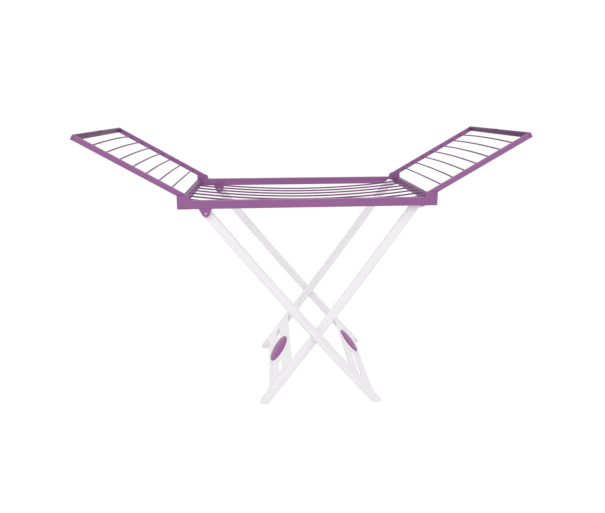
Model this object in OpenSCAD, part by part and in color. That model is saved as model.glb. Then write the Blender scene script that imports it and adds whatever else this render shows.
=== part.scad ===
// Winged clothes drying rack: deck frame with sagging bars, two folding wings, scissor legs.
// Millimetres, Z up, floor at z = 0, origin under the middle of the rack.
// X runs along the deck, Y across it; the front is at negative Y.

/* [Deck] */
// Length of the deck over its end rails
deck_l = 1050; // [1046:1:1056]
// Width of the deck over its long rails
deck_w = 570; // [560:1:590]
// Height of the deck's underside above the floor
deck_z = 900; // [898:1:902]
// Height of the deck rails
rail_h = 34; // [33:0.5:36]
// Thickness of the long rails and of the end rails
rail_t = 20; // [19.5:0.5:22]
// Rounding along the rail edges
rail_edge = 2.5; // [1:0.5:4]
// Wall left over the channel under the long rails
rail_wall = 2.5; // [2:0.5:3.5]
// Number of bays between the cross ribs in that channel
rail_bays = 11; // [8:1:14]
// Thickness of those cross ribs
rib_t = 2.4; // [1.6:0.2:3]

/* [Bars] */
// Diameter of the deck bars
bar_d = 7; // [6:0.5:8]
// Number of deck bars
bar_n = 7; // [5:1:8]
// Height of the bar ends above the deck's underside
bar_rise = 24.5; // [23:0.5:25.5]
// Sag of the deck bars at mid length
bar_sag = 33.5; // [28:0.5:36]
// Diameter of the wing bars
wing_bar_d = 6.4; // [5.5:0.1:7]
// Number of wing bars
wing_bar_n = 7; // [5:1:7]
// Distance of the first wing bar from the hinge axis
wing_bar_first = 70; // [60:0.5:72]
// Spacing of the wing bars
wing_bar_pitch = 56.2; // [52:0.1:57]
// Upward bow of the wing bars
wing_bow = 8; // [4:0.5:9]
// Upward bow of the bar nearest the hinge
wing_bow_first = 3; // [1:0.5:4]
// Depth of the bar ends in the rails
bar_seat = 4.5; // [3:0.5:5]

/* [Wings] */
// Rise of the open wings above level
wing_tilt = 30.3; // [28:0.1:33]
// Distance from the hinge axis to the outer edge of a wing
wing_l = 479; // [470:1:485]
// Height of the wing rails
wing_h = 22; // [20:0.5:23]
// Thickness of the wing side rails
wing_t = 12; // [11:0.5:12.5]
// Thickness of the wing's outer rail
outer_t = 14; // [12:0.5:18]
// Distance of the hinge axis from the deck's end
hinge_in = 35; // [34:0.5:37]
// Radius of the ears round the hinge axis
ear_r = 11.3; // [11.3:0.1:12]
// Reach of the ears past the hinge axis along the open wing's top
ear_reach = 10; // [8:0.5:12]
// Length of the ears along the rail
ear_l = 54; // [53:1:56]
// Width of the slot between the cheeks of an ear
slot_w = 12.6; // [12.6:0.1:13.2]
// Diameter of the hinge pins
hinge_pin_d = 8; // [6:0.5:8]
// Height of the thumb ledge on the outer rail
ledge_h = 2.5; // [1.5:0.5:4]

/* [Legs] */
// Width of the leg bars seen from the front
leg_w = 36; // [34:0.5:36.5]
// Thickness of the leg bars
leg_t = 22; // [20:0.5:23]
// Setback of the outer legs behind the deck's long faces
leg_inset = 12; // [12:0.5:13]
// Bow of the legs between their ends
leg_bow = 6.5; // [4:0.5:8]
// Rounding along the leg edges
leg_edge = 3; // [2:0.5:4]
// Distance of the fixed leg pivot from the deck's left end
lug_in = 110.5; // [108:0.5:114]
// Drop of that pivot below the deck's underside
lug_drop = 19; // [18.5:0.5:20]
// Foot position of the outer legs along the floor
foot_a_x = 308; // [302:1:312]
// Foot position of the inner legs along the floor
foot_b_x = -202; // [-206:1:-197]
// Distance of the inner legs' head from the deck's right end
head_in = 59; // [58:0.5:60]
// Height of the inner legs' head centre above the deck's underside
head_rise = 4; // [3:0.5:6]
// Radius of the inner legs' head disc
head_r = 21; // [20:0.5:22]
// Offset of the head disc's centre from the leg's centreline
head_off = 10; // [8:0.5:11]
// Diameter of the stub pins on the inner legs' heads
stub_d = 12; // [10:0.5:12]
// Height of the upright cut on the inner legs' toes
toe_b = 14; // [4:1:18]
// Height of the upright cut on the outer legs' toes
toe_a = 7; // [4:1:18]

/* [Leg pivots] */
// Width of the pivot lugs at the rail
lug_w = 51; // [48:1:54]
// Shift of the lugs' roots towards the deck's end
lug_skew = 1.5; // [0:0.5:3]
// Radius of the lower end of the lugs
lug_r = 14.5; // [13:0.5:16]
// Thickness of the lugs
lug_t = 10; // [9:0.5:11]
// Thickness of the lugs' inner plates
fork_t = 5; // [4:0.5:6]
// Diameter of the pivot pins in the lugs
lug_pin_d = 8; // [7:0.5:9]
// Diameter of the heads of those pins
lug_head_d = 11; // [10:0.5:13]
// Diameter of the pins where the legs cross
cross_pin_d = 12; // [10:0.5:14]

/* [Rungs] */
// Width of the rungs along the legs
rung_w = 66; // [60:1:70]
// Thickness of the rungs
rung_t = 6; // [6:0.5:8]
// Width of the slots between the two rungs of a leg frame
rung_gap = 30; // [20:1:32]
// Length of the rungs' hub between those slots
hub_l = 200; // [180:2:210]
// Web left at the legs beyond those slots
slot_end = 30; // [20:1:40]
// Length of the flares at the rungs' ends
flare_l = 34; // [20:1:45]
// Width that a flare adds at the leg
flare_w = 14; // [8:1:18]
// Distance from the foot to the outer frame's lower rung
rung_first_a = 42; // [40:1:48]
// Distance from the foot to the inner frame's lower rung
rung_first_b = 66; // [60:1:72]
// Radius of the disc joining two rungs
disc_r = 65; // [58:1:68]
// Thickness of that disc at its rim
disc_rim = 4; // [3:0.5:6]
// Rise of the dome on the disc
disc_rise = 9; // [6:0.5:10]
// Offset of the outer frame's disc towards the rear
disc_a_y = 90; // [80:2:100]

/* [Hidden] */

$fn = 64;
arc_fn = 900;
leg_fn = 2000;
run_gap = 0.05;
seat_gap = 0.1;
side_gap = 0.3;
face_gap = 0.4;
eps = 1;

deck_top = deck_z + rail_h;
rail_mid = deck_z + rail_h / 2;
rail_y = deck_w / 2 - rail_t / 2;
rail_in_y = deck_w / 2 - rail_t;
end_x = deck_l / 2 - rail_t;

hinge_x = deck_l / 2 - hinge_in;
hinge_z = deck_top + wing_h / 2 + side_gap;
hinge_c = [hinge_x, hinge_z];
stop_off = (wing_h / 2 + side_gap) / cos(wing_tilt);
ear_in = [deck_l / 2 - ear_l, deck_top];
ear_chamfer = 2;
cheek_t = (rail_t - slot_w) / 2;
hinge_blind = cheek_t - 1.4;
hinge_head_d = 13;
hinge_head_t = 2.5;
solid_l = 77;
catch_size = [30, 13, 27];
peg_d = 6;
peg_l = 5;
lug_head_t = 3;
lug_cap = [15, 3.5];
fork_shelf = 6;
cross_head = [20, 3];
cross_blind = 14;
disc_spigot = [10, 2];
stub_l = 11.5;
head_step = 0.6;
head_back = 8;

lug_c = [lug_in - deck_l / 2, deck_z - lug_drop];
head_c = [deck_l / 2 - head_in, deck_z + head_rise];
foot_a = [foot_a_x, 0];
foot_b = [foot_b_x, 0];
head_d = norm(head_c - foot_b);
head_dir = atan2(head_c.y, head_c.x - foot_b_x);
slope_b = head_dir + asin(head_off / head_d);
run_b = sqrt(head_d * head_d - head_off * head_off);
slope_a = atan2(lug_c.y, foot_a_x - lug_c.x);
run_a = norm(foot_a - lug_c);
chord_cross = lines_meet(lug_c, -slope_a, foot_b, slope_b);
bow_a = leg_bow_at(norm(chord_cross - lug_c), run_a);
bow_b = leg_bow_at(norm(chord_cross - foot_b), run_b);
cross_c = lines_meet(
    lug_c - bow_a * [sin(slope_a), cos(slope_a)], -slope_a,
    foot_b + bow_b * [sin(slope_b), -cos(slope_b)], slope_b);

leg_a_y = deck_w / 2 - leg_inset - leg_t / 2;
leg_a_in = leg_a_y - leg_t / 2;
leg_b_y = leg_a_y - leg_t - face_gap;
leg_b_in = leg_b_y - leg_t / 2;
leg_b_out = leg_b_y + leg_t / 2;
fork_y = side_gap - leg_a_in;
foot_over = 40;
rung_mid = rung_gap / 2 + rung_w;
rung_a_x = run_a - rung_first_a - rung_mid;
rung_b_x = rung_first_b + rung_mid;
rung_z = leg_w / 2 - leg_edge - rung_t / 2;
rung_bays = 8;
rung_wall = 4;

rail_pocket = [12, 6, 18];
rung_tenon = [40, 8, 5];
wing_tenon = [8, 6, 14];
bar_pitch = 2 * rail_in_y / (bar_n + 1);
bar_z = deck_z + bar_rise;
wing_half = rail_y - wing_t / 2;
wing_out_y = rail_y + wing_t / 2;

function bar_y(i) = (i + 1) * bar_pitch - rail_in_y;
function arc_r(half, rise) = (half * half + rise * rise) / (2 * rise);
function arc_a(half, rise) = asin(half / arc_r(half, rise));
function wing_bar_x(i) = wing_bar_first + i * wing_bar_pitch;
function wing_bow_of(i) = i == 0 ? wing_bow_first : wing_bow;
function lines_meet(p, a, q, b) =
    let (d = q - p)
    p + (d.x * sin(b) - d.y * cos(b)) / sin(b - a) * [cos(a), sin(a)];
function leg_bow_at(x, run) =
    let (r = arc_r(run / 2, leg_bow))
    sqrt(r * r - (x - run / 2) * (x - run / 2)) - r + leg_bow;
function touch(c, r, e, s) =
    let (a = atan2(e.y - c.y, e.x - c.x) + s * acos(r / norm(e - c)))
    c + r * [cos(a), sin(a)];

purple = [0.60, 0.38, 0.59];
violet = [0.50, 0.33, 0.52];
wire = [0.45, 0.38, 0.45];
white = [0.93, 0.93, 0.94];

// Rectangle with round corners
module soft_rect(w, h, r) {
    square([w - 2 * r, h], center = true);
    square([w, h - 2 * r], center = true);
    for (sx = [-1, 1], sy = [-1, 1])
        translate([sx * (w / 2 - r), sy * (h / 2 - r)])
            circle(r = r);
}

// Bar of length l along +X, w across Y and h high
module beam_x(l, w, h, r) {
    rotate([90, 0, 90])
        linear_extrude(l)
            soft_rect(w, h, r);
}

// Bar along Y from -l / 2 to l / 2, w along X and h high
module beam_y(l, w, h, r) {
    translate([0, l / 2, 0])
        rotate([90, 0, 0])
            linear_extrude(l)
                soft_rect(w, h, r);
}

// Outline in X and Z made t thick, its rear face at y
module plate(y, t) {
    translate([0, y, 0])
        rotate([90, 0, 0])
            linear_extrude(t)
                children();
}

// Round pin across Y at c between two depths
module rod(c, y0, y1, d) {
    translate([c.x, y1, c.y])
        rotate([90, 0, 0])
            cylinder(h = y1 - y0, d = d);
}

module block(c, size) {
    translate(c)
        cube(size, center = true);
}

// Deck bars and their seats ------------------------------------------------

// Arc hung between two seats, running on into them by seat
module sag_arc(half, rise, d, seat) {
    r = arc_r(half, rise);
    a = asin((half + seat) / r);
    translate([0, 0, r - rise])
        rotate([90, 0, 0])
            rotate([0, 0, -90 - a])
                rotate_extrude(angle = 2 * a, $fn = arc_fn)
                    translate([r, 0])
                        circle(d = d, $fn = 32);
}

// Straight seat for the right end of such an arc
module sag_seat(half, rise, d, l) {
    translate([half, 0, 0])
        rotate([0, 90 - arc_a(half, rise), 0])
            translate([0, 0, -eps])
                cylinder(h = l + eps, d = d, $fn = 32);
}

// Long rail with two hinge ears and a pivot lug; drawn as the front one -----

module ear_outline() {
    ear_out = [deck_l / 2, hinge_z + hinge_in * tan(wing_tilt) - stop_off];
    ear_top = hinge_c + ear_r * [-sin(wing_tilt), cos(wing_tilt)];
    polygon([
        [ear_in.x, deck_z],
        ear_in,
        ear_top - ear_reach * [cos(wing_tilt), sin(wing_tilt)],
        ear_top,
        hinge_c,
        touch(hinge_c, ear_r, ear_out, 1),
        ear_out,
        [deck_l / 2, deck_z + ear_chamfer],
        [deck_l / 2 - ear_chamfer, deck_z]
    ]);
    translate(hinge_c)
        circle(r = ear_r);
}

// Room for the wing's end, with the sloping stop under the open wing
module slot_outline() {
    level_x = hinge_x + (stop_off - wing_h / 2 - side_gap) / tan(wing_tilt);
    past_x = deck_l / 2 + eps;
    past_z = hinge_z + (past_x - hinge_x) * tan(wing_tilt) - stop_off;
    over_z = hinge_z + 3 * ear_r;
    polygon([
        [ear_in.x - eps, deck_top],
        [level_x, deck_top],
        [past_x, past_z],
        [past_x, over_z],
        [ear_in.x - eps, over_z]
    ]);
}

module ear_cuts() {
    plate(slot_w / 2 - rail_y, slot_w)
        slot_outline();
    rod(hinge_c, -rail_y - slot_w / 2 - hinge_blind, eps - rail_in_y,
        hinge_pin_d + 2 * run_gap);
    block([end_x + rail_t / 2, -rail_in_y, rail_mid],
        [rail_pocket.x + 2 * seat_gap, 2 * rail_pocket.y + 2 * seat_gap,
            rail_pocket.z + 2 * seat_gap]);
}

module lug_outline(up) {
    lug_left = [lug_c.x - lug_w / 2 - lug_skew, deck_z];
    lug_right = [lug_c.x + lug_w / 2 - lug_skew, deck_z];
    polygon([
        lug_left + [0, up],
        lug_left,
        touch(lug_c, lug_r, lug_left, 1),
        lug_c,
        touch(lug_c, lug_r, lug_right, -1),
        lug_right,
        lug_right + [0, up]
    ]);
    translate(lug_c)
        circle(r = lug_r);
}

module rail_channel() {
    x0 = lug_c.x + lug_w / 2 + 2 * rib_t;
    x1 = deck_l / 2 - solid_l;
    bay = (x1 - x0) / rail_bays;
    for (i = [0 : rail_bays - 1])
        translate([x0 + i * bay, -rail_y - rail_t / 2 + rail_wall, deck_z - eps])
            cube([bay - rib_t, rail_t - 2 * rail_wall, rail_h - rail_wall + eps]);
}

module long_rail() {
    difference() {
        union() {
            translate([-deck_l / 2, -rail_y, rail_mid])
                beam_x(deck_l, rail_t, rail_h, rail_edge);
            for (m = [0, 1])
                mirror([m, 0, 0])
                    plate(-rail_in_y, rail_t)
                        ear_outline();
            plate(lug_t - deck_w / 2, lug_t)
                lug_outline(eps);
            rod(lug_c, -deck_w / 2 + eps, -deck_w / 2 + leg_inset - side_gap, 2 * lug_r);
            plate(fork_y + fork_t, fork_t)
                lug_outline(fork_shelf);
            translate([lug_c.x - lug_w / 2 - lug_skew, -rail_in_y - eps, deck_z])
                cube([lug_w, fork_y + fork_t + rail_in_y + eps, fork_shelf]);
        }
        rail_channel();
        for (m = [0, 1])
            mirror([m, 0, 0])
                ear_cuts();
        rod(lug_c, -deck_w / 2 - eps, fork_y + fork_t + eps, lug_pin_d + 2 * run_gap);
        rod(lug_c, -deck_w / 2 - eps, -deck_w / 2 + lug_head_t, lug_head_d + 2 * seat_gap);
        catch_pegs(2 * seat_gap, seat_gap);
    }
}

// End rail of the deck; drawn as the right one -------------------------------

module end_rail() {
    difference() {
        union() {
            translate([end_x + rail_t / 2, 0, rail_mid])
                beam_y(2 * rail_in_y, rail_t, rail_h, rail_edge);
            for (s = [-1, 1])
                block([end_x + rail_t / 2, s * rail_in_y, rail_mid],
                    [rail_pocket.x, 2 * rail_pocket.y, rail_pocket.z]);
        }
        block([end_x + rail_t / 2, 0, deck_z],
            [rail_t / 2, 2 * rail_in_y - 3 * rail_t, rail_h * 0.7]);
        for (i = [0 : bar_n - 1])
            translate([0, bar_y(i), bar_z])
                sag_seat(end_x, bar_sag, bar_d + 2 * seat_gap, 2 * bar_seat);
    }
}

module deck_bars() {
    color(wire)
        for (i = [0 : bar_n - 1])
            translate([0, bar_y(i), bar_z])
                sag_arc(end_x, bar_sag, bar_d, 2 * bar_seat - side_gap);
}

// Catch that holds the inner legs' stub pin; drawn as the front one ----------

module catch_pegs(grow_d, grow_l) {
    for (x = [-9, 9])
        rod(head_c + [x, 12], -rail_in_y - peg_l - grow_l, -rail_in_y + grow_l, peg_d + grow_d);
}

module catch() {
    seat_d = stub_d + 2 * face_gap;
    color(violet) {
        plate(catch_size.y - rail_in_y, catch_size.y)
            difference() {
                translate(head_c + [0, 3])
                    soft_rect(catch_size.x, catch_size.z, 2);
                translate(head_c)
                    circle(d = seat_d);
                translate(head_c - [catch_size.x, catch_size.z])
                    square([catch_size.x, catch_size.z + seat_d / 2]);
            }
        catch_pegs(0, 0);
    }
}

// Wings; drawn as the right one in the wing's own plane, hinge axis at 0 ------

module wing_place() {
    translate([hinge_x, 0, hinge_z])
        rotate([0, -wing_tilt, 0])
            children();
}

// Arc bowed upwards between two seats, running on into them by seat
module bow_arc(half, rise, d, seat) {
    r = arc_r(half, rise);
    a = asin((half + seat) / r);
    translate([0, 0, rise - r])
        rotate([90, 0, 90])
            rotate([0, 0, 90 - a])
                rotate_extrude(angle = 2 * a, $fn = arc_fn)
                    translate([r, 0])
                        circle(d = d, $fn = 32);
}

// Straight seat for the front end of such an arc
module bow_seat(half, rise, d, l) {
    translate([0, -half, 0])
        rotate([90 + arc_a(half, rise), 0, 0])
            translate([0, 0, -eps])
                cylinder(h = l + eps, d = d, $fn = 32);
}

module wing_rail() {
    l = wing_l - outer_t;
    color(purple)
        wing_place()
            difference() {
                union() {
                    translate([0, -rail_y, 0])
                        beam_x(l, wing_t, wing_h, 2);
                    rod([0, 0], -wing_out_y, -wing_half, wing_h);
                    block([l, -rail_y, 0], [2 * wing_tenon.y, wing_tenon.x, wing_tenon.z]);
                }
                rod([0, 0], -wing_out_y - eps, eps - wing_half, hinge_pin_d + 2 * run_gap);
                for (i = [0 : wing_bar_n - 1])
                    translate([wing_bar_x(i), 0, 0])
                        bow_seat(wing_half, wing_bow_of(i), wing_bar_d + 2 * seat_gap, bar_seat);
            }
}

module wing_outer_rail() {
    mid_x = wing_l - outer_t / 2;
    color(purple)
        wing_place() {
            difference() {
                translate([mid_x, 0, 0])
                    beam_y(2 * wing_out_y, outer_t, wing_h, 3);
                for (s = [-1, 1])
                    block([wing_l - outer_t, s * rail_y, 0],
                        [2 * wing_tenon.y + 2 * seat_gap, wing_tenon.x + 2 * seat_gap,
                            wing_tenon.z + 2 * seat_gap]);
            }
            translate([mid_x, 0, wing_h / 2])
                beam_y(44, 7, 2 * ledge_h, 2);
        }
}

module wing_bars() {
    color(wire)
        wing_place()
            for (i = [0 : wing_bar_n - 1])
                translate([wing_bar_x(i), 0, 0])
                    bow_arc(wing_half, wing_bow_of(i), wing_bar_d, bar_seat - side_gap);
}

// The hinge pins of one wing, heads on the ears' inner faces
module wing_pins() {
    color(violet)
        for (m = [0, 1])
            mirror([0, m, 0]) {
                rod(hinge_c, -rail_y - slot_w / 2 - hinge_blind + seat_gap, eps - rail_in_y,
                    hinge_pin_d);
                rod(hinge_c, -rail_in_y, -rail_in_y + hinge_head_t, hinge_head_d);
            }
}

// The two pivot pins of the outer legs, each capped behind its lug's inner plate
module lug_pins() {
    pin_end = fork_y + fork_t;
    color(white)
        for (m = [0, 1])
            mirror([0, m, 0]) {
                rod(lug_c, -deck_w / 2 + seat_gap, -deck_w / 2 + lug_head_t, lug_head_d);
                rod(lug_c, -deck_w / 2 + seat_gap, pin_end + eps, lug_pin_d);
                rod(lug_c, pin_end, pin_end + lug_cap.y, lug_cap.x);
            }
}

// Leg frames ------------------------------------------------------------------

// Outer frame: origin at the fixed pivot, X down the leg, Z to its outer face
module frame_a() {
    translate([lug_c.x, 0, lug_c.y])
        rotate([0, slope_a, 0])
            children();
}

// Inner frame: origin at the foot, X up the leg, Z to its outer face
module frame_b() {
    translate([foot_b.x, 0, foot_b.y])
        rotate([0, -slope_b, 0])
            children();
}

module floor_cut() {
    translate([-deck_l, -deck_w, -deck_l])
        cube([2 * deck_l, 2 * deck_w, deck_l]);
}

// Takes the toe's point off upright, on the side s of the foot
module toe_cut(foot, slope, high, s) {
    half = leg_w / 2 / sin(slope);
    cut_x = foot.x + s * (half - high / tan(slope));
    block([cut_x + s * deck_l / 2, 0, 0], [deck_l, 2 * deck_w, deck_l / 2]);
}

// Bar bowed towards -Z along +X from a to b, about a chord from 0 to run
module leg_bar(run, a, b) {
    r = arc_r(run / 2, leg_bow);
    a0 = asin((a - run / 2) / r);
    a1 = asin((b - run / 2) / r);
    translate([run / 2, 0, r - leg_bow])
        rotate([90, 0, 0])
            rotate([0, 0, a0 - 90])
                rotate_extrude(angle = a1 - a0, $fn = leg_fn)
                    translate([r, 0])
                        soft_rect(leg_w, leg_t, leg_edge);
}

// Frame on that bar's centreline at x
module on_leg(run, x) {
    translate([x, 0, -leg_bow_at(x, run)])
        rotate([0, -asin((x - run / 2) / arc_r(run / 2, leg_bow)), 0])
            children();
}

module rung_seats(y) {
    for (s = [-1, 1])
        block([s * (rung_mid - rung_w / 2), y, rung_z],
            [rung_tenon.x + 2 * seat_gap, 2 * rung_tenon.y + 2 * seat_gap,
                rung_tenon.z + 2 * seat_gap]);
}

module leg_a() {
    color(white)
        difference() {
            union() {
                frame_a()
                    translate([0, -leg_a_y, 0])
                        leg_bar(run_a, 0, run_a + foot_over);
                rod(lug_c, head_step - leg_a_y - leg_t / 2, -leg_a_in - head_step, leg_w);
            }
            floor_cut();
            toe_cut(foot_a, slope_a, toe_a, 1);
            rod(lug_c, -deck_w / 2, -leg_a_in + eps, lug_pin_d + 2 * run_gap);
            rod(cross_c, -leg_a_in - cross_blind - seat_gap, eps - leg_a_in,
                cross_pin_d + 2 * run_gap);
            frame_a()
                on_leg(run_a, rung_a_x)
                    rung_seats(-leg_a_in);
        }
}

module leg_b() {
    color(white)
        difference() {
            union() {
                frame_b()
                    translate([0, -leg_b_y, 0])
                        leg_bar(run_b, -foot_over, run_b - head_back);
                rod(head_c, head_step - leg_b_out, -leg_b_in - head_step, 2 * head_r);
                rod(head_c, -leg_b_out - stub_l, -leg_b_y, stub_d);
            }
            floor_cut();
            toe_cut(foot_b, slope_b, toe_b, -1);
            rod(cross_c, -leg_b_out - eps, eps - leg_b_in, cross_pin_d + 2 * run_gap);
            rod(cross_c, -leg_b_in - cross_head.y - seat_gap, eps - leg_b_in,
                cross_head.x + 2 * seat_gap);
            frame_b()
                on_leg(run_b, rung_b_x)
                    rung_seats(-leg_b_in);
        }
}

// Pins through the inner legs into the outer ones, heads sunk in the inner legs
module crossing_pins() {
    color(white)
        for (m = [0, 1])
            mirror([0, m, 0]) {
                rod(cross_c, -leg_a_in - cross_blind, -leg_b_in - seat_gap, cross_pin_d);
                rod(cross_c, -leg_b_in - cross_head.y, -leg_b_in - seat_gap, cross_head.x);
            }
}

// Outline of the rung on the +X side of the pair's middle, legs at +half and -half
module rung_outline(half, hub_y) {
    slot_r = rung_gap / 2;
    far = slot_r + rung_w;
    difference() {
        polygon([
            [0, -half], [far + flare_w, -half], [far, flare_l - half],
            [far, half - flare_l], [far + flare_w, half], [0, half]
        ]);
        for (s = [-1, 1]) {
            near_y = hub_y + s * (hub_l / 2 + slot_r);
            far_y = s * (half - slot_end - slot_r);
            translate([-slot_r, min(near_y, far_y)])
                square([rung_gap, abs(far_y - near_y)]);
            translate([0, near_y])
                circle(r = slot_r);
            translate([0, far_y])
                circle(r = slot_r);
        }
    }
}

// Hollow rung open towards the inner face, with tenons for its legs' seats
module rung(half, hub_y) {
    bay = 2 * (half - rung_wall) / rung_bays;
    mid_x = rung_mid - rung_w / 2;
    color(white)
        difference() {
            union() {
                translate([0, 0, rung_z - rung_t / 2])
                    linear_extrude(rung_t)
                        rung_outline(half, hub_y);
                block([mid_x, 0, rung_z],
                    [rung_tenon.x, 2 * half + 2 * rung_tenon.y, rung_tenon.z]);
            }
            for (i = [0 : rung_bays - 1])
                block([mid_x, (i + 0.5) * bay - half + rung_wall, rung_z - rung_t / 2],
                    [rung_w - 2 * rung_wall, bay - rung_wall, rung_t]);
            disc_spigots(hub_y, seat_gap);
        }
}

module disc_spigots(y, grow) {
    for (s = [-1, 1])
        translate([s * (rung_mid - rung_w / 2), y, rung_z + rung_t / 2 - disc_spigot.y - grow])
            cylinder(h = disc_spigot.y + grow + eps, d = disc_spigot.x + 2 * grow);
}

// Shallow dome over the two rungs of a frame
module disc(y) {
    dome_r = disc_r - disc_rim / 2;
    ball_r = (dome_r * dome_r + disc_rise * disc_rise) / (2 * disc_rise);
    color(purple) {
        translate([0, y, rung_z + rung_t / 2]) {
            cylinder(h = disc_rim, r = disc_r, $fn = 96);
            intersection() {
                translate([0, 0, disc_rim + disc_rise - ball_r])
                    sphere(r = ball_r, $fn = 180);
                cylinder(h = disc_rim + disc_rise + eps, r = dome_r, $fn = 96);
            }
        }
        disc_spigots(y, 0);
    }
}

// Nodes -------------------------------------------------------------------------

module deck_rail_front() {
    color(purple)
        long_rail();
}

module deck_rail_rear() {
    color(purple)
        mirror([0, 1, 0])
            long_rail();
}

module deck_end_right() {
    color(purple)
        end_rail();
}

module deck_end_left() {
    color(purple)
        mirror([1, 0, 0])
            end_rail();
}

module catch_front() {
    catch();
}

module catch_rear() {
    mirror([0, 1, 0])
        catch();
}

module wing_right_pins() {
    wing_pins();
}

module wing_left_pins() {
    mirror([1, 0, 0])
        wing_pins();
}

module wing_right_rail_front() {
    wing_rail();
}

module wing_right_rail_rear() {
    mirror([0, 1, 0])
        wing_rail();
}

module wing_right_outer_rail() {
    wing_outer_rail();
}

module wing_right_bars() {
    wing_bars();
}

module wing_left_rail_front() {
    mirror([1, 0, 0])
        wing_rail();
}

module wing_left_rail_rear() {
    mirror([1, 0, 0])
        mirror([0, 1, 0])
            wing_rail();
}

module wing_left_outer_rail() {
    mirror([1, 0, 0])
        wing_outer_rail();
}

module wing_left_bars() {
    mirror([1, 0, 0])
        wing_bars();
}

module leg_a_front() {
    leg_a();
}

module leg_a_rear() {
    mirror([0, 1, 0])
        leg_a();
}

module leg_b_front() {
    leg_b();
}

module leg_b_rear() {
    mirror([0, 1, 0])
        leg_b();
}

module rung_a_lower() {
    frame_a()
        on_leg(run_a, rung_a_x)
            rung(leg_a_in, disc_a_y);
}

module rung_a_upper() {
    frame_a()
        on_leg(run_a, rung_a_x)
            mirror([1, 0, 0])
                rung(leg_a_in, disc_a_y);
}

module disc_a() {
    frame_a()
        on_leg(run_a, rung_a_x)
            disc(disc_a_y);
}

module rung_b_lower() {
    frame_b()
        on_leg(run_b, rung_b_x)
            mirror([1, 0, 0])
                rung(leg_b_in, 0);
}

module rung_b_upper() {
    frame_b()
        on_leg(run_b, rung_b_x)
            rung(leg_b_in, 0);
}

module disc_b() {
    frame_b()
        on_leg(run_b, rung_b_x)
            disc(0);
}

deck_rail_front();
deck_rail_rear();
deck_end_left();
deck_end_right();
deck_bars();
catch_front();
catch_rear();
wing_left_pins();
wing_right_pins();
lug_pins();
wing_left_rail_front();
wing_left_rail_rear();
wing_left_outer_rail();
wing_left_bars();
wing_right_rail_front();
wing_right_rail_rear();
wing_right_outer_rail();
wing_right_bars();
leg_a_front();
leg_a_rear();
rung_a_lower();
rung_a_upper();
disc_a();
crossing_pins();
leg_b_front();
leg_b_rear();
rung_b_lower();
rung_b_upper();
disc_b();
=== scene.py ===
"""Dresses the winged clothes drying rack in moulded resin and coated wire.

The rack is a purple deck with sagging wires, two purple wings that fold onto it, and two
white leg frames that cross below. Every rigid part is a refined copy of its solid with
softened edges; the wires and their collars come from Geometry Nodes.
All sizes are in metres, X along the rack, Y to the rear, Z up.
"""

import logging
import math
from dataclasses import dataclass, field
from enum import Enum
from typing import Sequence

import bmesh
import bpy
from mathutils import Euler, Matrix, Vector


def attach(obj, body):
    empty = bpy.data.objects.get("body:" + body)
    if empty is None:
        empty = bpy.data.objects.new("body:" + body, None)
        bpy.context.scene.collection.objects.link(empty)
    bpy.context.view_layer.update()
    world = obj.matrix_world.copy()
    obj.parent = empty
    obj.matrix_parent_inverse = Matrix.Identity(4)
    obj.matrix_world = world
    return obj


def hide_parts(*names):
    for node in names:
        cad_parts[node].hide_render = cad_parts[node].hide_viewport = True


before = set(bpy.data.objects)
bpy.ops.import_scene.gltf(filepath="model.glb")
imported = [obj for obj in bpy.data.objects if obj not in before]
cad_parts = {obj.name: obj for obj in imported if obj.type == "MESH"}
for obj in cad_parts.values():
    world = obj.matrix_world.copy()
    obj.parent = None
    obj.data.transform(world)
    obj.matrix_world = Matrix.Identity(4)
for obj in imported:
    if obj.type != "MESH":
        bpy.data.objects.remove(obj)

LOG = logging.getLogger("drying_rack")
Colour = tuple[float, float, float]
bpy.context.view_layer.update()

# Meshes: points closer than MERGE become one, and edges flatter than FLAT degrees go.
MERGE = 0.000004
FLAT = 0.6
# Edges sharper than BEVEL_FROM degrees are rounded, and those sharper than CREASE stay sharp.
BEVEL_FROM = 34.0
BEVEL_STEPS = 3
RAIL_SOFTEN = 0.0009
LEG_SOFTEN = 0.0012
PIN_SOFTEN = 0.0005
CROSSING_SOFTEN = 0.0006
CREASE = 32.0
# Roundness of the repeated shapes, in points.
WIRE_POINTS = 65
WIRE_SIDES = 14
COLLAR_SIDES = 20

DUST_COLOUR = (0.62, 0.60, 0.60)
DUST_DULLS = 0.5
WEAR_POLISHES = 0.15


class Body(Enum):
    """The rack's moving bodies, as the motion model names them."""

    DECK = "deck"
    WING_LEFT = "wing_left"
    WING_RIGHT = "wing_right"
    LEGS_OUTER = "legs_a"
    LEGS_INNER = "legs_b"


class Slot(Enum):
    """Finish slots of the part record."""

    COLOURED = "coloured_resin"
    WIRE = "bar_coating"
    LEG = "leg_resin"
    PIN = "pin_resin"
    DISC = "disc_resin"


class Shade(Enum):
    """Materials that some mouldings have to themselves within their slot: painted shade on the
    deck end rails and wing outer rails, as darker copies of the violet, and the crossing pins' own
    white.
    """

    END = "deck end rails"
    OUTER_PAINTED_SHADE = "wing outer rails"
    CROSSING = "crossing pins"


# --------------------------------------------------------------------------- shaders


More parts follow.
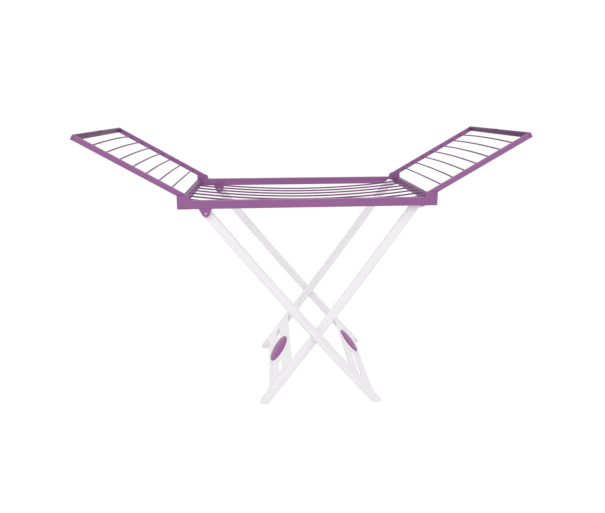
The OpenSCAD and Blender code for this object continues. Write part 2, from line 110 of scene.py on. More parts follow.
@dataclass
class Graph:
    """A node tree with short calls to add and join nodes.

    Attributes:
        tree: The shader or geometry tree that is being built.
    """

    tree: bpy.types.NodeTree

    def node(self, kind: str, **settings: object) -> bpy.types.Node:
        """Adds one node.

        Args:
            kind: Blender's type name of the node.
            **settings: Attributes set on the node.

        Returns:
            The new node.
        """
        made = self.tree.nodes.new(kind)
        for name, value in settings.items():
            setattr(made, name, value)
        return made

    def link(self, source: bpy.types.NodeSocket, target: bpy.types.NodeSocket) -> None:
        """Joins an output to an input."""
        self.tree.links.new(source, target)

    def feed(self, node: bpy.types.Node, **values: object) -> bpy.types.Node:
        """Fills a node's inputs by name, with sockets or plain values.

        Args:
            node: The node whose inputs are filled.
            **values: Input names, with underscores for spaces.

        Returns:
            The same node.
        """
        for name, value in values.items():
            socket = node.inputs[name.replace("_", " ")]
            if isinstance(value, bpy.types.NodeSocket):
                self.link(value, socket)
            else:
                socket.default_value = value
        return node

    def maths(self, operation: str, *values: object, clamp: bool = False) -> bpy.types.NodeSocket:
        """Adds a Math node over sockets or numbers and returns its output."""
        made = self.node("ShaderNodeMath", operation=operation, use_clamp=clamp)
        for socket, value in zip(made.inputs, values):
            if isinstance(value, bpy.types.NodeSocket):
                self.link(value, socket)
            else:
                socket.default_value = value
        return made.outputs[0]

    def remap(self, value: bpy.types.NodeSocket, low: float, high: float,
              to_low: float = 0.0, to_high: float = 1.0) -> bpy.types.NodeSocket:
        """Maps a value from one range to another, clamped.

        Args:
            value: The value to map.
            low: Start of the incoming range.
            high: End of the incoming range.
            to_low: Result at low.
            to_high: Result at high.

        Returns:
            The mapped value.
        """
        made = self.node("ShaderNodeMapRange", clamp=True)
        self.feed(made, Value=value, From_Min=low, From_Max=high, To_Min=to_low, To_Max=to_high)
        return made.outputs["Result"]

    def noise(self, place: bpy.types.NodeSocket, scale: object, detail: float = 3.0,
              roughness: float = 0.5) -> bpy.types.NodeSocket:
        """Adds a noise pattern and returns its value."""
        made = self.node("ShaderNodeTexNoise")
        self.feed(made, Vector=place, Scale=scale, Detail=detail, Roughness=roughness)
        return made.outputs[0]


class EffectGroups:
    """Shader groups that several finishes share; each is built once."""

    def __init__(self) -> None:
        """Builds the groups."""
        self.grain = self._grain()
        self.flow = self._flow()
        self.edge_wear = self._edge_wear()
        self.dust = self._dust()

    @staticmethod
    def _new(name: str, inputs: dict[str, float], outputs: Sequence[str]) -> tuple[
            Graph, bpy.types.Node, bpy.types.Node]:
        """Starts a group with a Place vector, float inputs and float outputs.

        Args:
            name: Name of the group.
            inputs: Float inputs and their default values.
            outputs: Names of the float outputs.

        Returns:
            The graph, its input node and its output node.
        """
        tree = bpy.data.node_groups.new(name, "ShaderNodeTree")
        tree.interface.new_socket("Place", in_out="INPUT", socket_type="NodeSocketVector")
        for key, value in inputs.items():
            made = tree.interface.new_socket(key, in_out="INPUT", socket_type="NodeSocketFloat")
            made.default_value = value
        for key in outputs:
            tree.interface.new_socket(key, in_out="OUTPUT", socket_type="NodeSocketFloat")
        graph = Graph(tree)
        return graph, graph.node("NodeGroupInput"), graph.node("NodeGroupOutput")

    def _grain(self) -> bpy.types.NodeTree:
        """The fine spark-eroded grain of a mould, as a height and a gloss mask."""
        graph, given, out = self._new("Mould grain", {"Size": 0.0009}, ("Height", "Gloss"))
        scale = graph.maths("DIVIDE", 1.0, given.outputs["Size"])
        fine = graph.noise(given.outputs["Place"], scale, 2.0, 0.6)
        pits = graph.node("ShaderNodeTexVoronoi", feature="F1")
        graph.feed(pits, Vector=given.outputs["Place"],
                   Scale=graph.maths("MULTIPLY", scale, 0.55))
        height = graph.maths("ADD", graph.maths("MULTIPLY", fine, 0.7),
                             graph.maths("MULTIPLY", pits.outputs["Distance"], 0.3))
        graph.link(height, out.inputs["Height"])
        broad = graph.noise(given.outputs["Place"], 38.0, 4.0, 0.55)
        graph.link(graph.remap(broad, 0.35, 0.68), out.inputs["Gloss"])
        return graph.tree

    def _flow(self) -> bpy.types.NodeTree:
        """Slow drifts of tone along a moulding, stretched along X."""
        graph, given, out = self._new("Flow tone", {"Size": 0.12}, ("Tone",))
        stretch = graph.node("ShaderNodeMapping")
        graph.feed(stretch, Vector=given.outputs["Place"], Scale=(0.35, 1.0, 1.0))
        scale = graph.maths("DIVIDE", 1.0, given.outputs["Size"])
        slow = graph.noise(stretch.outputs[0], scale, 3.0, 0.5)
        fine = graph.noise(stretch.outputs[0], graph.maths("MULTIPLY", scale, 9.0), 2.0, 0.5)
        tone = graph.maths("ADD", graph.maths("MULTIPLY", slow, 0.8),
                           graph.maths("MULTIPLY", fine, 0.2))
        graph.link(graph.remap(tone, 0.32, 0.68), out.inputs["Tone"])
        return graph.tree

    def _edge_wear(self) -> bpy.types.NodeTree:
        """A broken mask along sharp edges, where handling polishes and pales the resin."""
        graph, given, out = self._new("Edge wear", {"Reach": 0.0016, "Breakup": 60.0},
                                      ("Mask",))
        rounded = graph.node("ShaderNodeBevel", samples=4)
        graph.link(given.outputs["Reach"], rounded.inputs["Radius"])
        facing = graph.node("ShaderNodeNewGeometry")
        dot = graph.node("ShaderNodeVectorMath", operation="DOT_PRODUCT")
        graph.link(rounded.outputs[0], dot.inputs[0])
        graph.link(facing.outputs["Normal"], dot.inputs[1])
        edge = graph.remap(dot.outputs["Value"], 0.995, 0.82)
        broken = graph.remap(graph.noise(given.outputs["Place"], given.outputs["Breakup"], 5.0,
                                         0.65), 0.36, 0.62)
        graph.link(graph.maths("MULTIPLY", edge, broken, clamp=True), out.inputs["Mask"])
        return graph.tree

    def _dust(self) -> bpy.types.NodeTree:
        """A thin uneven film of dust on faces that look up."""
        graph, given, out = self._new("Dust film", {"Amount": 0.2}, ("Mask",))
        facing = graph.node("ShaderNodeNewGeometry")
        parts = graph.node("ShaderNodeSeparateXYZ")
        graph.link(facing.outputs["Normal"], parts.inputs[0])
        up = graph.remap(parts.outputs["Z"], 0.25, 0.95)
        patch = graph.remap(graph.noise(given.outputs["Place"], 24.0, 6.0, 0.6), 0.35, 0.75)
        mask = graph.maths("MULTIPLY", graph.maths("MULTIPLY", up, patch),
                           given.outputs["Amount"], clamp=True)
        graph.link(mask, out.inputs["Mask"])
        return graph.tree


@dataclass(frozen=True)
class ResinFinish:
    """A moulded or coated finish with grain, slow tone, worn edges and a little dust.

    Attributes:
        name: Name of the material.
        colour: Linear base colour.
        deep: Colour of the darker drifts of tone.
        worn: Colour of worn edges.
        roughness: Roughness of the plain surface.
        gloss_range: How far roughness drifts.
        grain_size: Size of the mould's grain.
        grain_depth: Depth of that grain.
        flow_size: Size of the drifts of tone.
        wear: Strength of worn edges.
        dust: Strength of the dust film.
        specular: Strength of the plain reflection, where 0.5 is that of common resin.
        cap: Plain colour of the end caps, outside the painted shade that the rest of the moulding
            carries, where the moulding has them.
        cap_from: Distance from the middle plane at which those caps begin.
    """

    name: str
    colour: Colour
    deep: Colour
    worn: Colour
    roughness: float = 0.42
    gloss_range: float = 0.1
    grain_size: float = 0.0009
    grain_depth: float = 0.00003
    flow_size: float = 0.12
    wear: float = 0.35
    dust: float = 0.12
    specular: float = 0.5
    cap: Colour | None = None
    cap_from: float = 0.0

    def material(self, effects: EffectGroups) -> bpy.types.Material:
        """Builds the finish as a material.

        Args:
            effects: The shared shader groups.

        Returns:
            The material.
        """
        made = bpy.data.materials.new(self.name)
        made.use_nodes = True
        made.diffuse_color = (*self.colour, 1.0)
        graph = Graph(made.node_tree)
        graph.tree.nodes.clear()
        place = graph.node("ShaderNodeTexCoord").outputs["Object"]
        shader = graph.node("ShaderNodeBsdfPrincipled")
        shader.inputs["Specular IOR Level"].default_value = self.specular
        out = graph.node("ShaderNodeOutputMaterial")
        graph.link(shader.outputs[0], out.inputs["Surface"])

        flow = self._group(graph, effects.flow, place, Size=self.flow_size)
        wear = self._group(graph, effects.edge_wear, place)
        dust = self._group(graph, effects.dust, place, Amount=self.dust)
        grain = self._group(graph, effects.grain, place, Size=self.grain_size)

        tone = self._mix(graph, flow.outputs["Tone"], self.deep, self.colour)
        # Past cap_from the plain colour of the end caps comes back; the rest keeps the darker
        # colour, which on the wing outer rails is painted shade.
        if self.cap:
            parts = graph.node("ShaderNodeSeparateXYZ")
            graph.link(place, parts.inputs[0])
            past = graph.maths("GREATER_THAN", graph.maths("ABSOLUTE", parts.outputs["Y"]),
                               self.cap_from)
            tone = self._mix(graph, past, tone, self.cap)
        edge = graph.maths("MULTIPLY", wear.outputs["Mask"], self.wear)
        handled = self._mix(graph, edge, tone, self.worn)
        dusty = self._mix(graph, dust.outputs["Mask"], handled, DUST_COLOUR)
        graph.link(dusty, shader.inputs["Base Color"])

        rough = graph.remap(grain.outputs["Gloss"], 0.0, 1.0, self.roughness,
                            self.roughness + self.gloss_range)
        duller = graph.maths("MULTIPLY", dust.outputs["Mask"], DUST_DULLS)
        rough = graph.maths("ADD", rough, duller, clamp=True)
        polished = graph.maths("MULTIPLY", edge, WEAR_POLISHES)
        graph.link(graph.maths("SUBTRACT", rough, polished, clamp=True),
                   shader.inputs["Roughness"])
        bump = graph.node("ShaderNodeBump")
        graph.feed(bump, Height=grain.outputs["Height"], Distance=self.grain_depth, Strength=1.0)
        graph.link(bump.outputs[0], shader.inputs["Normal"])
        return made

    @staticmethod
    def _group(graph: Graph, tree: bpy.types.NodeTree, place: bpy.types.NodeSocket,
               **values: float) -> bpy.types.Node:
        """Places a shared group with its own values."""
        made = graph.node("ShaderNodeGroup", node_tree=tree)
        return graph.feed(made, Place=place, **values)

    @staticmethod
    def _mix(graph: Graph, factor: bpy.types.NodeSocket, first: object,
             second: object) -> bpy.types.NodeSocket:
        """Mixes two colours, each a socket or a linear colour, by a factor."""
        made = graph.node("ShaderNodeMix", data_type="RGBA")
        graph.link(factor, made.inputs[0])
        for socket, value in ((made.inputs[6], first), (made.inputs[7], second)):
            if isinstance(value, bpy.types.NodeSocket):
                graph.link(value, socket)
            else:
                socket.default_value = (*value, 1.0)
        return made.outputs[2]


class Palette:
    """The rack's materials, one for each slot and one for each moulding with a material of its
    own, two of which are the violet in painted shade.
    """

    def __init__(self) -> None:
        """Builds all the materials."""
        effects = EffectGroups()
        finishes = {
            Slot.COLOURED: ResinFinish("Violet resin", (0.288, 0.101, 0.279),
                                       (0.266, 0.090, 0.258), (0.40, 0.20, 0.39)),
            # Painted shade: the deck end rails are a darker copy of the violet, with shade painted
            # into their colour.
            Shade.END: ResinFinish("Violet resin in painted shade", (0.205, 0.090, 0.208),
                                   (0.188, 0.080, 0.190), (0.30, 0.17, 0.31),
                                   grain_depth=0.00001, dust=0.06),
            # Painted shade: the wing outer rails are a much darker, duller copy of the violet,
            # with the plain violet back on their end caps.
            Shade.OUTER_PAINTED_SHADE: ResinFinish("Violet resin in deep painted shade", (0.118, 0.030, 0.118),
                                     (0.106, 0.026, 0.106), (0.18, 0.07, 0.18),
                                     grain_depth=0.00001, dust=0.02, specular=0.22,
                                     cap=(0.288, 0.101, 0.279), cap_from=0.269),
            Shade.CROSSING: ResinFinish("White pin resin", (0.850, 0.830, 0.860),
                                        (0.820, 0.800, 0.830), (0.92, 0.91, 0.92),
                                        roughness=0.4, wear=0.15, dust=0.03),
            Slot.DISC: ResinFinish("Violet disc resin", (0.300, 0.066, 0.280),
                                   (0.272, 0.058, 0.254), (0.40, 0.18, 0.39), roughness=0.36),
            Slot.WIRE: ResinFinish("Coated wire", (0.164, 0.036, 0.158), (0.140, 0.030, 0.136),
                                   (0.27, 0.15, 0.27), roughness=0.36, grain_size=0.0016,
                                   grain_depth=0.00001, flow_size=0.06, wear=0.1, dust=0.06),
            Slot.LEG: ResinFinish("White resin", (0.872, 0.850, 0.872), (0.840, 0.820, 0.841),
                                  (0.93, 0.92, 0.93), roughness=0.5, grain_depth=0.00001,
                                  wear=0.2, dust=0.03),
            Slot.PIN: ResinFinish("Pale pin resin", (0.56, 0.36, 0.54), (0.50, 0.32, 0.48),
                                  (0.85, 0.8, 0.85), roughness=0.35, wear=0.15, dust=0.03),
        }
        self.of: dict[Slot | Shade, bpy.types.Material] = {
            key: finish.material(effects) for key, finish in finishes.items()}


# --------------------------------------------------------------------------- meshes


def place_object(mesh: bpy.types.Mesh, name: str) -> bpy.types.Object:
    """Puts a mesh into the scene as an object at the origin.

    Args:
        mesh: The finished mesh, with its place in its points.
        name: Name of the piece.

    Returns:
        The new object.
    """
    made = bpy.data.objects.new(name, mesh)
    bpy.context.scene.collection.objects.link(made)
    return made


def settle(piece: bpy.types.Object) -> bpy.types.Object:
    """Turns a piece's modifiers into its mesh and shades it smooth but for its sharp edges.

    Args:
        piece: The piece, which may have live modifiers.

    Returns:
        The same piece, with a plain mesh.
    """
    graph = bpy.context.evaluated_depsgraph_get()
    mesh = bpy.data.meshes.new_from_object(piece.evaluated_get(graph), depsgraph=graph)
    piece.modifiers.clear()
    old = piece.data
    piece.data = mesh
    mesh.name = piece.name
    bpy.data.meshes.remove(old)
    mesh.polygons.foreach_set("use_smooth", [True] * len(mesh.polygons))
    mesh.set_sharp_from_angle(angle=math.radians(CREASE))
    return piece


@dataclass
class Moulding:
    """A rigid part: a merged copy of its solid with softened edges.

    Attributes:
        node: The solid that it stands for.
        body: The body that it rides on.
        slot: Its finish slot.
        soften: Width of the rounding on sharp edges.
        shade: The material that the part has to itself, where it has one; for the end and outer
            rails that is the violet in painted shade.
    """

    node: str
    body: Body
    slot: Slot
    soften: float = RAIL_SOFTEN
    shade: Shade | None = None

    def build(self, palette: Palette) -> bpy.types.Object:
        """Builds the piece, dresses it and hands the solid over to it.

        Args:
            palette: The rack's materials.

        Returns:
            The finished piece.
        """
        shell = bmesh.new()
        shell.from_mesh(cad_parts[self.node].data)
        bmesh.ops.remove_doubles(shell, verts=shell.verts, dist=MERGE)
        bmesh.ops.dissolve_limit(shell, angle_limit=math.radians(FLAT), verts=shell.verts,
                                 edges=shell.edges, use_dissolve_boundaries=False)
        mesh = bpy.data.meshes.new(self.node)
        shell.to_mesh(mesh)
        shell.free()
        mesh.materials.clear()
        mesh.materials.append(palette.of[self.shade or self.slot])
        piece = place_object(mesh, f"{self.node}_moulded")
        bevel = piece.modifiers.new("soft edges", "BEVEL")
        bevel.width = self.soften
        bevel.segments = BEVEL_STEPS
        bevel.limit_method = "ANGLE"
        bevel.angle_limit = math.radians(BEVEL_FROM)
        bevel.use_clamp_overlap = True
        settle(piece)
        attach(piece, self.body.value)
        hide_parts(self.node)
        return piece


# --------------------------------------------------------------------------- repeats


class RepeatTool:
    """A Geometry Nodes tree with named inputs that is turned into one plain mesh.

    Attributes:
        INPUTS: Socket types of the tree's own inputs, by name.
        PLACING: Socket types of the inputs that every tree has, by name.
    """

    INPUTS: dict[str, str] = {}
    PLACING = {"Origin": "NodeSocketVector", "Turn": "NodeSocketVector",
               "Material": "NodeSocketMaterial"}

    def __init__(self, name: str) -> None:
        """Builds the tree.

        Args:
            name: Name of the tree.
        """
        self.tree = bpy.data.node_groups.new(name, "GeometryNodeTree")
        self.sockets: dict[str, str] = {}
        for key, kind in {**self.INPUTS, **self.PLACING}.items():
            made = self.tree.interface.new_socket(key, in_out="INPUT", socket_type=kind)
            self.sockets[key] = made.identifier
        self.tree.interface.new_socket("Geometry", in_out="OUTPUT",
                                       socket_type="NodeSocketGeometry")
        self.graph = Graph(self.tree)
        self.given = self.graph.node("NodeGroupInput").outputs
        self.finish(self.shape())

    def shape(self) -> bpy.types.NodeSocket:
        """Makes the repeated shape in its own plane and returns it."""
        raise NotImplementedError

    def finish(self, shape: bpy.types.NodeSocket) -> None:
        """Ends the tree: real meshes, turned and moved to their place, with a material.

        Args:
            shape: The geometry to end with.
        """
        graph = self.graph
        real = graph.node("GeometryNodeRealizeInstances")
        graph.link(shape, real.inputs["Geometry"])
        turn = graph.node("FunctionNodeEulerToRotation")
        graph.link(self.given["Turn"], turn.inputs[0])
        move = graph.node("GeometryNodeTransform")
        graph.feed(move, Geometry=real.outputs[0], Translation=self.given["Origin"],
                   Rotation=turn.outputs[0])
        paint = graph.node("GeometryNodeSetMaterial")
        graph.feed(paint, Geometry=move.outputs[0], Material=self.given["Material"])
        out = graph.node("NodeGroupOutput")
        graph.link(paint.outputs[0], out.inputs["Geometry"])

    def vector(self, x: object = 0.0, y: object = 0.0, z: object = 0.0) -> bpy.types.NodeSocket:
        """Joins three sockets or numbers into a vector."""
        return self.graph.feed(self.graph.node("ShaderNodeCombineXYZ"), X=x, Y=y, Z=z).outputs[0]

    def make(self, name: str, body: Body, slot: Slot, palette: Palette,
             **values: object) -> bpy.types.Object:
        """Runs the tree and keeps its result as a plain piece.

        Args:
            name: Name of the piece.
            body: The body that it rides on.
            slot: Its finish slot.
            palette: The rack's materials.
            **values: The tree's inputs, with underscores for spaces.

        Returns:
            The finished piece.
        """
        piece = place_object(bpy.data.meshes.new(name), name)
        modifier = piece.modifiers.new("repeat", "NODES")
        modifier.node_group = self.tree
        for key, value in {**values, "Material": palette.of[slot]}.items():
            modifier[self.sockets[key.replace("_", " ")]] = value
        settle(piece)
        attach(piece, body.value)
        return piece


class HungWires(RepeatTool):
    """Round wires side by side that run along X and sag or bow between their seats."""

    INPUTS = {
        "Count": "NodeSocketInt", "First": "NodeSocketFloat", "Pitch": "NodeSocketFloat",
        "Half": "NodeSocketFloat", "Seat": "NodeSocketFloat", "Rise": "NodeSocketFloat",
        "First Rise": "NodeSocketFloat", "Radius": "NodeSocketFloat",
    }

    def shape(self) -> bpy.types.NodeSocket:
        """Makes the wires: straight lines on a row of points, bent and given a round section."""
        graph, given = self.graph, self.given
        reach = graph.maths("ADD", given["Half"], given["Seat"])
        line = graph.node("GeometryNodeCurvePrimitiveLine")
        graph.feed(line, Start=self.vector(graph.maths("MULTIPLY", reach, -1.0)),
                   End=self.vector(reach))
        fine = graph.node("GeometryNodeResampleCurve")
        graph.feed(fine, Curve=line.outputs[0], Count=WIRE_POINTS)
        row = graph.node("GeometryNodeMeshLine")
        graph.feed(row, Count=given["Count"], Start_Location=self.vector(y=given["First"]),
                   Offset=self.vector(y=given["Pitch"]))
        many = graph.node("GeometryNodeInstanceOnPoints")
        graph.feed(many, Points=row.outputs[0], Instance=fine.outputs[0])
        real = graph.node("GeometryNodeRealizeInstances")
        graph.link(many.outputs[0], real.inputs[0])

        parts = graph.node("ShaderNodeSeparateXYZ")
        graph.link(graph.node("GeometryNodeInputPosition").outputs[0], parts.inputs[0])
        share = graph.maths("DIVIDE", parts.outputs["X"], given["Half"])
        curve = graph.maths("SUBTRACT", 1.0, graph.maths("MULTIPLY", share, share))
        past = graph.maths("GREATER_THAN", graph.maths("SUBTRACT", parts.outputs["Y"],
                                                       given["First"]),
                           graph.maths("MULTIPLY", given["Pitch"], 0.5))
        rise = graph.node("ShaderNodeMix", data_type="FLOAT")
        graph.link(past, rise.inputs[0])
        graph.link(given["First Rise"], rise.inputs[2])
        graph.link(given["Rise"], rise.inputs[3])
        bend = graph.node("GeometryNodeSetPosition")
        graph.feed(bend, Geometry=real.outputs[0],
                   Offset=self.vector(z=graph.maths("MULTIPLY", curve, rise.outputs[0])))
        ring = graph.node("GeometryNodeCurvePrimitiveCircle")
        graph.feed(ring, Resolution=WIRE_SIDES, Radius=given["Radius"])
        solid = graph.node("GeometryNodeCurveToMesh")
        graph.feed(solid, Curve=bend.outputs[0], Profile_Curve=ring.outputs[0], Fill_Caps=True)
        return solid.outputs[0]


class CollarRow(RepeatTool):
    """Tapered collars at both ends of a row of wires that run along X."""

    INPUTS = {
        "Count": "NodeSocketInt", "First": "NodeSocketFloat", "Pitch": "NodeSocketFloat",
        "Half": "NodeSocketFloat", "Length": "NodeSocketFloat", "Foot": "NodeSocketFloat",
        "Tip": "NodeSocketFloat", "Tilt": "NodeSocketFloat",
    }

    def shape(self) -> bpy.types.NodeSocket:
        """Makes the collars, narrow ends towards the middle of the wires."""
        graph, given = self.graph, self.given
        both = graph.node("GeometryNodeJoinGeometry")
        for side in (-1.0, 1.0):
            skirt = graph.node("GeometryNodeMeshCone")
            graph.feed(skirt, Vertices=COLLAR_SIDES, Side_Segments=1, Radius_Top=given["Tip"],
                       Radius_Bottom=given["Foot"], Depth=given["Length"])
            row = graph.node("GeometryNodeMeshLine")
            start = self.vector(graph.maths("MULTIPLY", given["Half"], side), given["First"])
            graph.feed(row, Count=given["Count"], Start_Location=start,
                       Offset=self.vector(y=given["Pitch"]))
            lean = graph.maths("MULTIPLY", graph.maths("SUBTRACT", math.pi / 2, given["Tilt"]),
                               -side)
            turn = graph.node("FunctionNodeEulerToRotation")
            graph.link(self.vector(y=lean), turn.inputs[0])
            many = graph.node("GeometryNodeInstanceOnPoints")
            graph.feed(many, Points=row.outputs[0], Instance=skirt.outputs[0],
                       Rotation=turn.outputs[0])
            graph.link(many.outputs[0], both.inputs[0])
        return both.outputs[0]


@dataclass
class Toolbox:
    """The Geometry Nodes trees that the sub-assemblies share."""

    wires: HungWires = field(default_factory=lambda: HungWires("Hung wires"))
    collars: CollarRow = field(default_factory=lambda: CollarRow("Wire collars"))


# --------------------------------------------------------------------------- the rack


@dataclass
class Deck:
    """The fixed deck: four rails, sagging wires, catches and pins.

    Attributes:
        half: Half of the wires' free length.
        rail_in: Distance of the long rails' inner faces from the middle.
        wire_z: Height of the wires' ends.
        wire_count: Number of wires.
        sag: Sag of the wires.
        wire_r: Radius of the wires.
        seat: Length of the wires inside the end rails.
        collar: Length of the collars round the wires' ends.
        collar_foot: Wide radius of the collars, as a multiple of the wires' radius.
        collar_tip: Narrow radius of the collars, as a multiple of the wires' radius.
    """

    half: float = 0.505
    rail_in: float = 0.265
    wire_z: float = 0.9245
    wire_count: int = 7
    sag: float = 0.0335
    wire_r: float = 0.0035
    seat: float = 0.0085
    collar: float = 0.004
    collar_foot: float = 1.7
    collar_tip: float = 1.2

    def build(self, palette: Palette, tools: Toolbox) -> list[bpy.types.Object]:
        """Builds and dresses the deck.

        Args:
            palette: The rack's materials.
            tools: The shared Geometry Nodes trees.

        Returns:
            The pieces.
        """
        made = [Moulding(node, Body.DECK, Slot.COLOURED).build(palette)
                for node in ("deck_rail_front", "deck_rail_rear", "catch_front", "catch_rear")]
        # The end rails take the violet in painted shade.
        made += [Moulding(node, Body.DECK, Slot.COLOURED, shade=Shade.END).build(palette)
                 for node in ("deck_end_left", "deck_end_right")]
        made += [Moulding(node, Body.DECK, slot, PIN_SOFTEN).build(palette)
                 for node, slot in (("wing_left_pins", Slot.COLOURED),
                                    ("wing_right_pins", Slot.COLOURED),
                                    ("lug_pins", Slot.PIN))]
        pitch = 2 * self.rail_in / (self.wire_count + 1)
        row = {"Count": self.wire_count, "First": pitch - self.rail_in, "Pitch": pitch,
               "Half": self.half, "Origin": (0.0, 0.0, self.wire_z), "Turn": (0.0, 0.0, 0.0)}
        wires = tools.wires.make("deck_wires", Body.DECK, Slot.WIRE, palette, **row,
                                 Seat=self.seat, Rise=-self.sag, First_Rise=-self.sag,
                                 Radius=self.wire_r)
        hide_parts("deck_bars")
        made.append(wires)
        made.append(tools.collars.make("deck_collars", Body.DECK, Slot.COLOURED, palette, **row,
                                       Length=self.collar, Foot=self.wire_r * self.collar_foot,
                                       Tip=self.wire_r * self.collar_tip,
                                       Tilt=2 * self.sag / self.half))
        return made


@dataclass
class Wing:
    """One folding wing: two side rails, an outer rail and bowed wires.

    Attributes:
        side: 1 for the right wing and -1 for the left.
        hinge: X of the right hinge axis and its height.
        tilt: Rise of the open wing in degrees.
        half: Half of the wires' free length.
        first: Distance of the first wire from the hinge axis.
        pitch: Spacing of the wires.
        wire_count: Number of wires.
        bow: Upward bow of the wires.
        first_bow: Upward bow of the first wire.
        wire_r: Radius of the wires.
        seat: Length of the wires inside the rails.
        collar: Length of the collars round the wires' ends.
        collar_foot: Wide radius of the collars.
        collar_tip: Narrow radius of the collars.
    """

    side: int
    hinge: tuple[float, float] = (0.490, 0.9453)
    tilt: float = 30.3
    half: float = 0.269
    first: float = 0.070
    pitch: float = 0.0562
    wire_count: int = 7
    bow: float = 0.008
    first_bow: float = 0.003
    wire_r: float = 0.0032
    seat: float = 0.0042
    collar: float = 0.007
    collar_foot: float = 0.0062
    collar_tip: float = 0.0038

    @property
    def name(self) -> str:
        """The wing's name, as its solids' names begin."""
        return "wing_right" if self.side > 0 else "wing_left"

    @property
    def body(self) -> Body:
        """The body that the wing is."""
        return Body.WING_RIGHT if self.side > 0 else Body.WING_LEFT

    def frame_of(self) -> tuple[Vector, Matrix]:
        """Finds the wing's own plane.

        Returns:
            The hinge axis's middle, and a turn whose X runs across the wing, Y outwards
            along it and Z out of its upper face.
        """
        rise = math.radians(self.tilt)
        out = Vector((self.side * math.cos(rise), 0.0, math.sin(rise)))
        across = Vector((0.0, -self.side, 0.0))
        up = across.cross(out)
        turn = Matrix((across, out, up)).transposed()
        return Vector((self.side * self.hinge[0], 0.0, self.hinge[1])), turn

    def build(self, palette: Palette, tools: Toolbox) -> list[bpy.types.Object]:
        """Builds and dresses the wing.

        Args:
            palette: The rack's materials.
            tools: The shared Geometry Nodes trees.

        Returns:
            The pieces.
        """
        made = [Moulding(f"{self.name}_{part}", self.body, Slot.COLOURED).build(palette)
                for part in ("rail_front", "rail_rear")]
        # The outer rail takes the violet in deep painted shade, plain at its end caps.
        made.append(Moulding(f"{self.name}_outer_rail", self.body, Slot.COLOURED,
                             shade=Shade.OUTER_PAINTED_SHADE).build(palette))
        origin, turn = self.frame_of()
        euler = tuple(turn.to_euler("XYZ"))
        row = {"Count": self.wire_count, "First": self.first, "Pitch": self.pitch,
               "Half": self.half, "Origin": tuple(origin), "Turn": euler}
        wires = tools.wires.make(f"{self.name}_wires", self.body, Slot.WIRE, palette, **row,
                                 Seat=self.seat, Rise=self.bow, First_Rise=self.first_bow,
                                 Radius=self.wire_r)
        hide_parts(f"{self.name}_bars")
        made.append(wires)
        made.append(tools.collars.make(f"{self.name}_collars", self.body, Slot.COLOURED, palette,
                                       **row, Length=self.collar, Foot=self.collar_foot,
                                       Tip=self.collar_tip, Tilt=-2 * self.bow / self.half))
        return made


@dataclass
class LegFrame:
    """One of the two crossing leg frames.

    Attributes:
        letter: "a" for the outer frame that hangs from the lugs, "b" for the inner one.
        body: The body that it is.
        pins: Whether the frame carries the crossing pins.
    """

    letter: str
    body: Body
    pins: bool = False

    def build(self, palette: Palette) -> list[bpy.types.Object]:
        """Builds and dresses the frame.

        Args:
            palette: The rack's materials.

        Returns:
            The pieces.
        """
        white = [f"leg_{self.letter}_front", f"leg_{self.letter}_rear",
                 f"rung_{self.letter}_lower", f"rung_{self.letter}_upper"]
        made = [Moulding(node, self.body, Slot.LEG, LEG_SOFTEN).build(palette)
                for node in white]
        made.append(Moulding(f"disc_{self.letter}", self.body, Slot.DISC,
                             LEG_SOFTEN).build(palette))
        if self.pins:
            made.append(Moulding("crossing_pins", self.body, Slot.PIN, CROSSING_SOFTEN,
                                 Shade.CROSSING).build(palette))
        return made


# --------------------------------------------------------------------------- the studio


def grey(value: float) -> tuple[float, float, float, float]:
    """Makes an opaque grey of a linear value."""
    return (value, value, value, 1.0)


@dataclass(frozen=True)
class Lamp:
    """A square soft lamp.

    Attributes:
        name: Name of the lamp.
        place: Its position.
        aim: The point that it faces.
        size: Side of the square.
        power: Power in watts.
    """

    name: str
    place: tuple[float, float, float]
    aim: tuple[float, float, float]
    size: float
    power: float

    def build(self) -> None:
        """Adds the lamp to the scene."""
        light = bpy.data.lights.new(self.name, "AREA")
        light.size = self.size
        light.energy = self.power
        lamp = bpy.data.objects.new(self.name, light)
        lamp.location = self.place
        facing = Vector(self.aim) - Vector(self.place)
        lamp.rotation_euler = facing.to_track_quat("-Z", "Y").to_euler()
        bpy.context.scene.collection.objects.link(lamp)


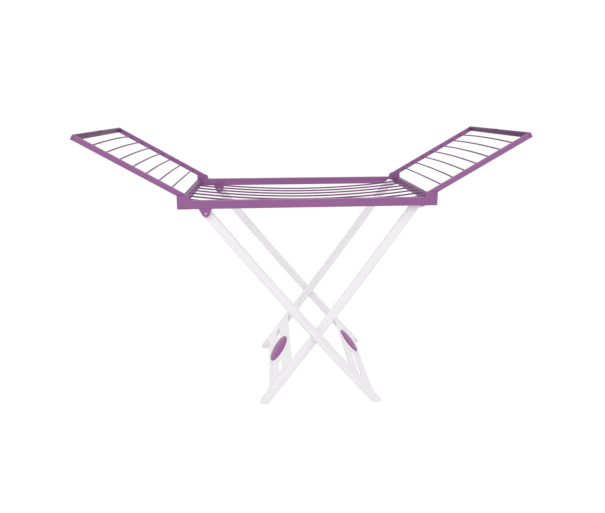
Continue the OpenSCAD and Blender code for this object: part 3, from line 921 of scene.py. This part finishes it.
@dataclass
class Studio:
    """A pale floor, soft lamps and the camera.

    Attributes:
        eye: Position of the camera.
        yaw: Turn of the view to the right of +Y, in radians.
        pitch: Fall of the view, in radians.
        focal: Focal length in picture widths.
        shift: Vertical shift of the lens in picture widths.
        lamps: The lamps.
        floor_reach: Half of the floor's side.
        floor_tone: Colour of the floor, as the rack sees it.
        floor_glow: Strength of the floor's white, as the camera sees it.
        floor_white: Share of that white; the rest takes the shadow.
        surround: Strength of the even light all round.
    """

    eye: tuple[float, float, float] = (-0.16747, -2.07461, 1.30290)
    yaw: float = 0.07658
    pitch: float = 0.19340
    focal: float = 0.756764
    shift: float = -0.101653
    lamps: tuple[Lamp, ...] = (
        Lamp("key", (-3.8, -6.4, 5.7), (0.0, 0.0, 0.7), 5.2, 126.0),
        Lamp("fill", (5.4, -5.6, 3.2), (0.0, 0.0, 0.6), 4.8, 40.0),
        Lamp("top", (0.2, 0.6, 3.6), (0.0, 0.0, 0.5), 3.0, 9.0),
    )
    floor_reach: float = 30.0
    floor_tone: Colour = (0.80, 0.80, 0.81)
    floor_glow: float = 1.06
    floor_white: float = 0.90
    surround: float = 0.92

    def build(self) -> None:
        """Sets up the floor, the world, the lamps, the camera and the view."""
        self._floor()
        self._world()
        for lamp in self.lamps:
            lamp.build()
        self._camera()
        view = bpy.context.scene.view_settings
        view.view_transform = "Standard"

    @staticmethod
    def _seen(graph: Graph) -> bpy.types.NodeSocket:
        """Gives 1 where the camera or a reflection looks, and 0 for the rest of the light."""
        path = graph.node("ShaderNodeLightPath")
        return graph.maths("MAXIMUM", path.outputs["Is Camera Ray"], path.outputs["Is Glossy Ray"])

    def _floor(self) -> None:
        """A wide plain floor, white to the camera but for a faint shadow."""
        mesh = bpy.data.meshes.new("floor")
        reach = self.floor_reach
        mesh.from_pydata([(-reach, -reach, 0), (reach, -reach, 0), (reach, reach, 0),
                          (-reach, reach, 0)], [], [(0, 1, 2, 3)])
        floor = place_object(mesh, "floor")
        material = bpy.data.materials.new("Pale floor")
        material.use_nodes = True
        graph = Graph(material.node_tree)
        graph.tree.nodes.clear()
        plain = graph.feed(graph.node("ShaderNodeBsdfDiffuse"), Color=(*self.floor_tone, 1.0))
        white = graph.feed(graph.node("ShaderNodeEmission"), Color=grey(1.0),
                           Strength=self.floor_glow)
        mix = graph.node("ShaderNodeMixShader")
        graph.link(graph.maths("MULTIPLY", self._seen(graph), self.floor_white), mix.inputs[0])
        graph.link(plain.outputs[0], mix.inputs[1])
        graph.link(white.outputs[0], mix.inputs[2])
        out = graph.node("ShaderNodeOutputMaterial")
        graph.link(mix.outputs[0], out.inputs["Surface"])
        mesh.materials.append(material)

    def _world(self) -> None:
        """Even pale light all round, white where the camera looks past the floor."""
        world = bpy.data.worlds.new("studio")
        world.use_nodes = True
        graph = Graph(world.node_tree)
        graph.tree.nodes.clear()
        mix = graph.node("ShaderNodeMix", data_type="RGBA")
        graph.link(self._seen(graph), mix.inputs[0])
        mix.inputs[6].default_value = grey(self.surround)
        mix.inputs[7].default_value = grey(1.0)
        back = graph.node("ShaderNodeBackground")
        graph.link(mix.outputs[2], back.inputs["Color"])
        out = graph.node("ShaderNodeOutputWorld")
        graph.link(back.outputs[0], out.inputs["Surface"])
        bpy.context.scene.world = world

    def _camera(self) -> None:
        """Adds the camera at the view's place and makes it the scene's own."""
        data = bpy.data.cameras.new("view")
        data.sensor_fit = "HORIZONTAL"
        data.sensor_width = 36.0
        data.lens = self.focal * data.sensor_width
        data.shift_y = self.shift
        data.clip_end = 100.0
        camera = bpy.data.objects.new("view", data)
        camera.location = self.eye
        camera.rotation_euler = Euler((math.pi / 2 - self.pitch, 0.0, -self.yaw), "XYZ")
        bpy.context.scene.collection.objects.link(camera)
        bpy.context.scene.camera = camera


def main() -> None:
    """Builds the studio and the rack, and reports each piece."""
    logging.basicConfig(level=logging.INFO, format="%(name)s: %(message)s")
    Studio().build()
    palette, tools = Palette(), Toolbox()
    pieces = Deck().build(palette, tools)
    for side in (-1, 1):
        pieces += Wing(side).build(palette, tools)
    pieces += LegFrame("a", Body.LEGS_OUTER, pins=True).build(palette)
    pieces += LegFrame("b", Body.LEGS_INNER).build(palette)
    for piece in pieces:
        LOG.info("%s: %d faces", piece.name, len(piece.data.polygons))


if __name__ == "__main__":
    main()
